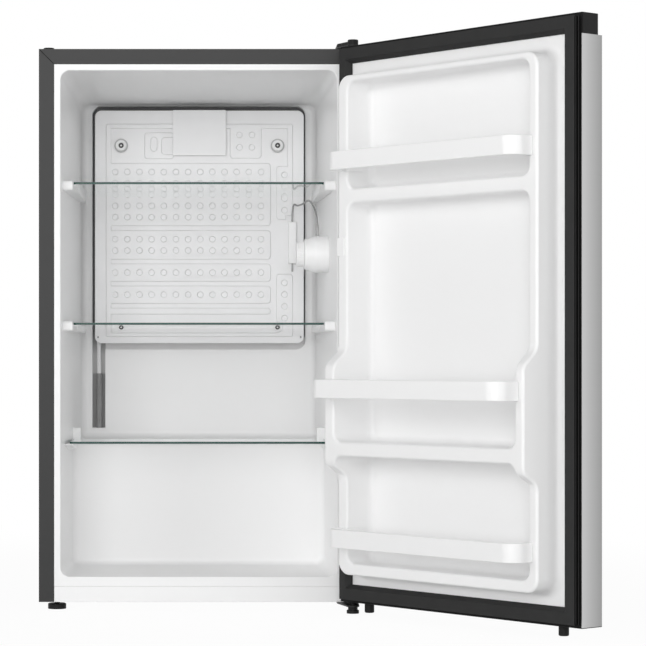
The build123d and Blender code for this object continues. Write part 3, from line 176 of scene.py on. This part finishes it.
class Finish:
    """A material under construction, with one method that adds any node."""

    def __init__(self, name, owner=None):
        self.owner = owner or bpy.data.materials.new(name)
        self.owner.use_nodes = True
        self.tree = self.owner.node_tree
        self.tree.nodes.clear()

    def node(self, kind, settings=None, output=0, **sockets):
        """Add a node. A socket goes by its name, with _ for a space, or by its order, such as _0."""
        made = self.tree.nodes.new(kind)
        for key, value in (settings or {}).items():
            setattr(made, key, value)
        for key, value in sockets.items():
            target = made.inputs[int(key[1:])] if key[0] == "_" else made.inputs[key.replace("_", " ")]
            if isinstance(value, Wire):
                self.tree.links.new(value.socket, target)
            else:
                target.default_value = value
        return Wire(self, made.outputs[output]) if len(made.outputs) else None

    def spot(self):
        """A point's place in the object's own coordinates."""
        return self.node("ShaderNodeTexCoord", output="Object")

    def stretched(self, stretch):
        """The same, stretched for streaks and grain."""
        return self.node("ShaderNodeMapping", Vector=self.spot(), Scale=stretch)

    def axis(self, direction):
        """How far a point lies along a direction."""
        return self.node(
            "ShaderNodeVectorMath", {"operation": "DOT_PRODUCT"}, output="Value",
            _0=self.spot(), _1=tuple(direction))

    def noise(self, scale, detail=2.0, stretch=(1, 1, 1), roughness=0.5):
        """A cloudy pattern round 0.5, with its scale in waves per metre."""
        return self.node(
            "ShaderNodeTexNoise", Vector=self.stretched(stretch), Scale=scale, Detail=detail,
            Roughness=roughness)

    def fade(self, value, start, stop, first, last, curve="LINEAR"):
        """A level that goes from a first to a last one while a value goes from start to stop."""
        return self.node(
            "ShaderNodeMapRange", {"interpolation_type": curve}, Value=value,
            _1=start, _2=stop, _3=first, _4=last)

    def mix(self, factor, first, last):
        """A colour between two others."""
        return self.node(
            "ShaderNodeMix", {"data_type": "RGBA"}, output=2, Factor=factor,
            _6=(*first, 1.0), _7=(*last, 1.0))

    def tone(self, colour, change, amount):
        """A colour made lighter and darker by a pattern round 0.5."""
        dark = tuple(channel * (1 - amount) for channel in colour)
        light = tuple(min(1.0, channel * (1 + amount)) for channel in colour)
        return self.mix(change, dark, light)

    def bump(self, height, depth, strength):
        return self.node("ShaderNodeBump", Height=height, Distance=depth, Strength=strength)

    def surface(self, shader, kind="ShaderNodeOutputMaterial"):
        """Close the finish with its output."""
        self.node(kind, Surface=shader)
        return self.owner

    def principled(self, **sockets):
        return self.surface(self.node("ShaderNodeBsdfPrincipled", **sockets))


def grey(level):
    return (level, level, level)


def span(node, direction):
    """The least and greatest place of a node along a direction."""
    places = [vertex.co.dot(direction) for vertex in nodes[node].data.vertices]
    return min(places), max(places)


def cabinet_paint_with_painted_light():
    """Dark textured paint, with painted light: slightly lighter towards the top, standing in for the light
    from above.
    """
    finish = Finish("cabinet_paint_with_painted_light")
    grain = finish.noise(900.0, detail=3.0)
    mottle = finish.noise(35.0)
    # Painted light: the base colour lightens with height in place of light falling from above.
    height = finish.fade(finish.axis(UP), 0.0, cabinet_high.z, 0.0, 0.9)
    return finish.principled(
        Base_Color=finish.mix(height + 0.1 * mottle, grey(0.014), grey(0.026)),
        Roughness=0.42 + 0.12 * grain,
        Specular_IOR_Level=0.35,
        Normal=finish.bump(grain, 0.25 * MM, 0.6))


def liner_sheet():
    """Vacuum-formed white sheet: a soft gloss with a slight waviness."""
    finish = Finish("liner_white")
    drift = finish.noise(6.0)
    ripple = finish.noise(22.0, detail=1.0)
    return finish.principled(
        Base_Color=finish.tone(grey(0.94), drift, 0.012),
        Roughness=0.3 + 0.06 * finish.noise(60.0),
        Specular_IOR_Level=0.38,
        Normal=finish.bump(ripple, 0.6 * MM, 0.35))


def moulded_white():
    """White moulded plastic with a fine grain."""
    finish = Finish("moulded_white")
    grain = finish.noise(1500.0)
    return finish.principled(
        Base_Color=finish.tone(grey(0.95), finish.noise(9.0), 0.012),
        Roughness=0.3 + 0.1 * grain,
        Normal=finish.bump(grain, 0.04 * MM, 0.4))


def plate_coat():
    """White coating on the evaporator plate."""
    finish = Finish("plate_coat")
    return finish.principled(
        Base_Color=finish.tone((0.91, 0.91, 0.915), finish.noise(30.0), 0.02),
        Roughness=0.3 + 0.14 * finish.noise(240.0),
        Normal=finish.bump(finish.noise(420.0), 0.05 * MM, 0.3))


def brushed_silver_with_painted_shade():
    """Brushed steel, with painted shade: darker towards the outer face of the door, standing in for the
    shading on the skin's side.
    """
    finish = Finish("brushed_silver_with_painted_shade")
    streak = finish.noise(3.0, detail=6.0, stretch=(1, 1, 700), roughness=0.7)
    speck = finish.noise(1400.0)
    outer, inner = span("door_skin", door_inward)
    # Painted shade: the base colour darkens towards the outer face.
    level = finish.fade(finish.axis(door_inward), outer, inner, 0.0, 0.85)
    return finish.principled(
        Base_Color=finish.mix(level + 0.15 * streak, grey(0.28), grey(0.56)),
        Metallic=0.85,
        Roughness=0.34 + 0.12 * streak + 0.06 * speck,
        Normal=finish.bump(streak, 0.05 * MM, 0.35))


def screw_distance(finish):
    """How far a point lies from the axis of the nearest of the plate's four screws."""
    left, right = span("evaporator_screws", ACROSS)
    low, high = span("evaporator_screws", UP)
    head = SCREW_HEAD / 2
    across = (finish.axis(ACROSS) - (left + right) / 2).maths("ABSOLUTE") - ((right - left) / 2 - head)
    up = (finish.axis(UP) - (low + high) / 2).maths("ABSOLUTE") - ((high - low) / 2 - head)
    return (across * across + up * up) ** 0.5


def screw_painted_shade_and_highlight():
    """Screws painted dark as the shade in their recess, with a painted highlight in the middle."""
    finish = Finish("screw_with_painted_shade_and_highlight")
    # Painted highlight in the middle of the screw head, which is painted dark as shade.
    middle = finish.fade(screw_distance(finish), *PAINTED_HIGHLIGHT_RADII, 1.0, 0.0)
    return finish.principled(
        Base_Color=finish.mix(middle, grey(0.03), grey(0.5)),
        Metallic=0.6,
        Roughness=0.4 + 0.1 * finish.noise(400.0))


def washer_with_painted_shade():
    """White spacers with painted shade: greyer in the well round the screw and on the foot, where shade
    falls.
    """
    finish = Finish("washer_with_painted_shade")
    reach = screw_distance(finish)
    # Painted shade in the well and at the foot of each washer.
    well = finish.fade(reach, *WASHER_WELL_SHADE, 0.0, 1.0)
    foot = finish.fade(reach, *WASHER_FOOT_SHADE, 1.0, 0.35)
    return finish.principled(
        Base_Color=finish.mix(well * foot, grey(0.3), grey(0.88)),
        Roughness=0.35 + 0.1 * finish.noise(600.0))


def black_plastic(name, level, roughness, gleam=0.3):
    """Black plastic or rubber with a moulded grain."""
    finish = Finish(name)
    grain = finish.noise(1300.0, detail=3.0)
    return finish.principled(
        Base_Color=finish.tone(grey(level), finish.noise(40.0), 0.15),
        Roughness=roughness + 0.12 * grain,
        Specular_IOR_Level=gleam,
        Normal=finish.bump(grain, 0.12 * MM, 0.5))


def bare_metal(name, colour, roughness, spangle):
    """Plated or bare metal with a soft grain of its own scale."""
    finish = Finish(name)
    cells = finish.node(
        "ShaderNodeTexVoronoi", output="Color", Vector=finish.stretched((1, 1, 1)), Scale=spangle)
    shade = finish.node("ShaderNodeRGBToBW", Color=cells)
    return finish.principled(
        Base_Color=finish.tone(colour, shade, 0.08),
        Metallic=0.9,
        Roughness=roughness + 0.1 * shade,
        Normal=finish.bump(finish.noise(800.0), 0.03 * MM, 0.3))


def shelf_glass():
    """Clear glass as a thin sheet: it lets the light through and mirrors more at a glancing angle."""
    finish = Finish("shelf_glass")
    glance = finish.node("ShaderNodeFresnel", IOR=1.5)
    inside = finish.node("ShaderNodeNewGeometry", output="Backfacing")
    smear = finish.noise(18.0)
    return finish.principled(
        Base_Color=finish.tone((0.9, 0.95, 0.935), smear, 0.02),
        Metallic=1.0,
        Roughness=0.02 + 0.03 * smear,
        Alpha=(0.03 + 0.9 * glance) * (1.0 - inside))


def glass_edge():
    """The dark green that glass shows along its cut edges."""
    finish = Finish("glass_edge")
    band = finish.noise(30.0, stretch=(1, 1, 0.2))
    return finish.principled(
        Base_Color=finish.tone((0.014, 0.062, 0.05), band, 0.25),
        Roughness=0.2 + 0.1 * band,
        Specular_IOR_Level=0.25)


def soft_foam(finish, colour):
    """Close a finish as matt foam with open cells."""
    cells = finish.noise(900.0, detail=4.0)
    return finish.principled(
        Base_Color=colour,
        Roughness=0.75 + 0.15 * cells,
        Normal=finish.bump(cells, 0.4 * MM, 0.6))


def foam_sleeve():
    """Grey foam round the suction line."""
    finish = Finish("foam_sleeve")
    return soft_foam(finish, finish.tone(grey(0.3), finish.noise(60.0), 0.2))


def backing_with_painted_shade():
    """Grey foam behind the plate, painted dark as the shade in the slot round it: paler in the channel
    below the plate, darker again beside the sleeve.
    """
    finish = Finish("backing_with_painted_shade")
    height = finish.axis(UP)
    plate_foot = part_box("evaporator_plate")[0].z
    sleeve_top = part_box("pipe_sleeve")[1].z
    # Painted shade: darker in the slot and beside the sleeve, paler in the channel below the plate.
    channel = finish.fade(height, plate_foot - CHANNEL_SHADE_FADE, plate_foot + CHANNEL_SHADE_FADE, 1.0, 0.0)
    bare = finish.fade(height, sleeve_top - SLEEVE_SHADE_FADE, sleeve_top + SLEEVE_SHADE_FADE, 0.4, 1.0)
    return soft_foam(
        finish, finish.mix(channel * bare + 0.1 * finish.noise(60.0), grey(0.16), grey(0.62)))


def raw_foam():
    """Yellow insulating foam inside the walls and the door."""
    finish = Finish("raw_foam")
    cells = finish.noise(500.0, detail=4.0)
    return finish.principled(
        Base_Color=finish.tone((0.72, 0.62, 0.36), cells, 0.2),
        Roughness=0.9 + 0.05 * cells)


slot_finishes = {
    "cabinet_grey": cabinet_paint_with_painted_light(),
    "zinc_steel": bare_metal("zinc_steel", (0.55, 0.55, 0.54), 0.34, 260.0),
    "liner_white": liner_sheet(),
    "moulded_white": moulded_white(),
    "plate_white": plate_coat(),
    "foam": raw_foam(),
    "silver_skin": brushed_silver_with_painted_shade(),
    "black_plastic": black_plastic("black_plastic", 0.009, 0.45, 0.16),
    "black_rubber": black_plastic("black_rubber", 0.024, 0.55, 0.18),
    "clear_glass": shelf_glass(),
    "sleeve_grey": foam_sleeve(),
    "tube_grey": bare_metal("tube_grey", grey(0.72), 0.4, 500.0),
    "copper": bare_metal("copper", (0.72, 0.38, 0.24), 0.3, 200.0),
    "compressor_black": black_plastic("compressor_black", 0.015, 0.2),
    "motor_iron": bare_metal("motor_iron", grey(0.2), 0.6, 120.0),
}
green_edge = glass_edge()
# Near-black for the mitre joint lines, and painted shade in the gasket's grooves.
joint_line_and_groove_shade = black_plastic("joint_line_and_groove_shade", 0.004, 0.7, 0.05)
hinge_black = black_plastic("hinge_black", 0.01, 0.4, 0.25)
own_finishes = {
    "evaporator_screws": screw_painted_shade_and_highlight(),
    "evaporator_washers": washer_with_painted_shade(),
    "capillary_tube": bare_metal("capillary_grey", grey(0.4), 0.45, 500.0),
    # The backing's dark grey is painted shade in the slot behind the plate.
    "evaporator_backing": backing_with_painted_shade(),
    "door_edge_frame": black_plastic("edge_frame_black", 0.005, 0.5, 0.12),
    "bottom_hinge_bracket": hinge_black,
    "top_hinge_bracket": hinge_black,
    "hinge_hole_plug": black_plastic("plug_black", 0.006, 0.5, 0.15),
}


def dress(node):
    """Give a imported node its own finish, or else that of its slot."""
    mesh = nodes[node].data
    mesh.materials.clear()
    mesh.materials.append(own_finishes.get(node) or slot_finishes[slot_of_node[node]])


def mark(node, finish, chosen):
    """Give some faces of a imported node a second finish."""
    mesh = nodes[node].data
    mesh.materials.append(finish)
    for face in mesh.polygons:
        if chosen(face):
            face.material_index = len(mesh.materials) - 1


def in_mitre(face):
    """The thin joint line in the corners of the cabinet's front flange."""
    depth = face.center.y - front_y
    diagonal = abs(abs(face.normal.x) - abs(face.normal.z)) < MITRE_SLANT
    return MITRE_SHALLOW < depth < MITRE_DEEP and diagonal


def in_groove(face):
    """The two grooves round the outside of the door's gasket, which get a darker finish as painted shade.
    """
    place, normal = face.center, face.normal
    if abs(normal.dot(door_inward)) > FACING:
        return gasket_depth[0] + GASKET_RIM < place.dot(door_inward) < gasket_depth[1] - GASKET_RIM
    along, up = place.dot(door_along), place.z
    if abs(normal.z) > FACING:
        inset = min(up - gasket_height[0], gasket_height[1] - up)
    else:
        inset = min(along - gasket_reach[0], gasket_reach[1] - along)
    return abs(inset - GROOVE_DEPTH) < GROOVE_SPREAD


def on_glass_edge(face):
    """The front and side edges of a glass shelf. Its rear edge stays clear."""
    return abs(face.normal.z) < 0.5 and face.normal.y < 0.5


def soften(node, width):
    """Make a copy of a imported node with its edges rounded, which stands for the node."""
    piece = bpy.data.objects.new(node + "_soft", nodes[node].data.copy())
    bpy.context.scene.collection.objects.link(piece)
    bpy.ops.object.select_all(action="DESELECT")
    piece.select_set(True)
    bpy.context.view_layer.objects.active = piece
    bpy.ops.mesh.customdata_custom_splitnormals_clear()
    bpy.ops.object.mode_set(mode="EDIT")
    bpy.ops.mesh.select_mode(type="EDGE")
    bpy.ops.mesh.select_all(action="SELECT")
    bpy.ops.mesh.remove_doubles(threshold=MERGE_DISTANCE)
    bpy.ops.mesh.select_all(action="DESELECT")
    bpy.ops.mesh.edges_select_sharp(sharpness=SHARP_ANGLE)
    bpy.ops.mesh.bevel(
        offset=width, segments=EDGE_SEGMENTS, affect="EDGES", clamp_overlap=False, loop_slide=False)
    bpy.ops.object.mode_set(mode="OBJECT")
    bpy.ops.object.shade_smooth_by_angle(angle=SHARP_ANGLE)
    even = piece.modifiers.new("even_shading", "WEIGHTED_NORMAL")
    even.keep_sharp = True
    bpy.ops.object.modifier_apply(modifier=even.name)
    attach(piece, body_of_node[node])
    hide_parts(node)


for node in nodes:
    dress(node)

gasket_depth = span("door_gasket", door_inward)
gasket_reach = span("door_gasket", door_along)
gasket_height = span("door_gasket", UP)
mark("outer_cabinet", joint_line_and_groove_shade, in_mitre)
# Painted shade in the gasket's grooves.
mark("door_gasket", joint_line_and_groove_shade, in_groove)
for node in ("glass_shelf_top", "glass_shelf_middle", "glass_shelf_bottom"):
    mark(node, green_edge, on_glass_edge)

for node, width in EDGE_WIDTHS_MM.items():
    soften(node, width * MM)


def backdrop_rays(finish):
    """One for the rays that show the background: to the camera, in a gloss and through glass."""
    camera = finish.node("ShaderNodeLightPath", output="Is Camera Ray")
    gloss = finish.node("ShaderNodeLightPath", output="Is Glossy Ray")
    through = finish.node("ShaderNodeLightPath", output="Is Transmission Ray")
    return camera | gloss | through


def white_stage():
    """A floor that stays white to the eye and keeps the shadow under the fridge."""
    bpy.ops.object.select_all(action="DESELECT")
    bpy.ops.mesh.primitive_plane_add(size=FLOOR_SIDE, location=(0, 0, 0))
    floor = bpy.context.active_object
    floor.name = "studio_floor"
    finish = Finish("studio_floor")
    seen = backdrop_rays(finish)
    matt = finish.node("ShaderNodeBsdfDiffuse", Color=(*grey(FLOOR_WHITE), 1.0))
    glow = finish.node("ShaderNodeEmission", Strength=1.0)
    distance = finish.node(
        "ShaderNodeVectorMath", {"operation": "LENGTH"}, output="Value", _0=finish.spot())
    share = finish.fade(distance, FADE_FROM, FADE_TO, NEAR_GLOW, FAR_GLOW, "SMOOTHSTEP")
    mixed = finish.node("ShaderNodeMixShader", _0=seen * share, _1=matt, _2=glow)
    floor.data.materials.append(finish.surface(mixed))


def white_sky():
    """A sky that is white to the eye and gives the fridge a little light."""
    world = bpy.data.worlds.new("studio_sky")
    bpy.context.scene.world = world
    finish = Finish("studio_sky", world)
    bright = SKY_STRENGTH + (1.0 - SKY_STRENGTH) * backdrop_rays(finish)
    sky = finish.node("ShaderNodeBackground", Color=(*grey(1.0), 1.0), Strength=bright)
    finish.surface(sky, "ShaderNodeOutputWorld")


def softbox(name, place, target, side, power):
    """A square lamp that faces a point."""
    lamp = bpy.data.lights.new(name, "AREA")
    lamp.shape = "SQUARE"
    lamp.size = side
    lamp.energy = power
    holder = bpy.data.objects.new(name, lamp)
    bpy.context.scene.collection.objects.link(holder)
    holder.location = place
    holder.rotation_euler = (Vector(target) - Vector(place)).to_track_quat("-Z", "Y").to_euler()


def front_view():
    """A level camera straight in front of the cabinet."""
    lens = bpy.data.cameras.new("front_view")
    lens.sensor_width = SENSOR_WIDTH_MM
    lens.lens = FOCAL_PIXELS / PICTURE_SIDE * SENSOR_WIDTH_MM
    lens.shift_x = (PICTURE_SIDE / 2 - AXIS_PIXEL_X) / PICTURE_SIDE
    lens.shift_y = (AXIS_PIXEL_Y - PICTURE_SIDE / 2) / PICTURE_SIDE
    lens.clip_end = CAMERA_RANGE
    camera = bpy.data.objects.new("front_view", lens)
    bpy.context.scene.collection.objects.link(camera)
    camera.location = (0.0, front_y - CAMERA_DISTANCE, CAMERA_HEIGHT)
    camera.rotation_euler = (math.pi / 2, 0.0, 0.0)
    bpy.context.scene.camera = camera


white_stage()
white_sky()
for name, (place, target, side, power) in SOFTBOXES.items():
    softbox(name, place, target, side, power)
front_view()
bpy.context.scene.view_settings.view_transform = "Standard"
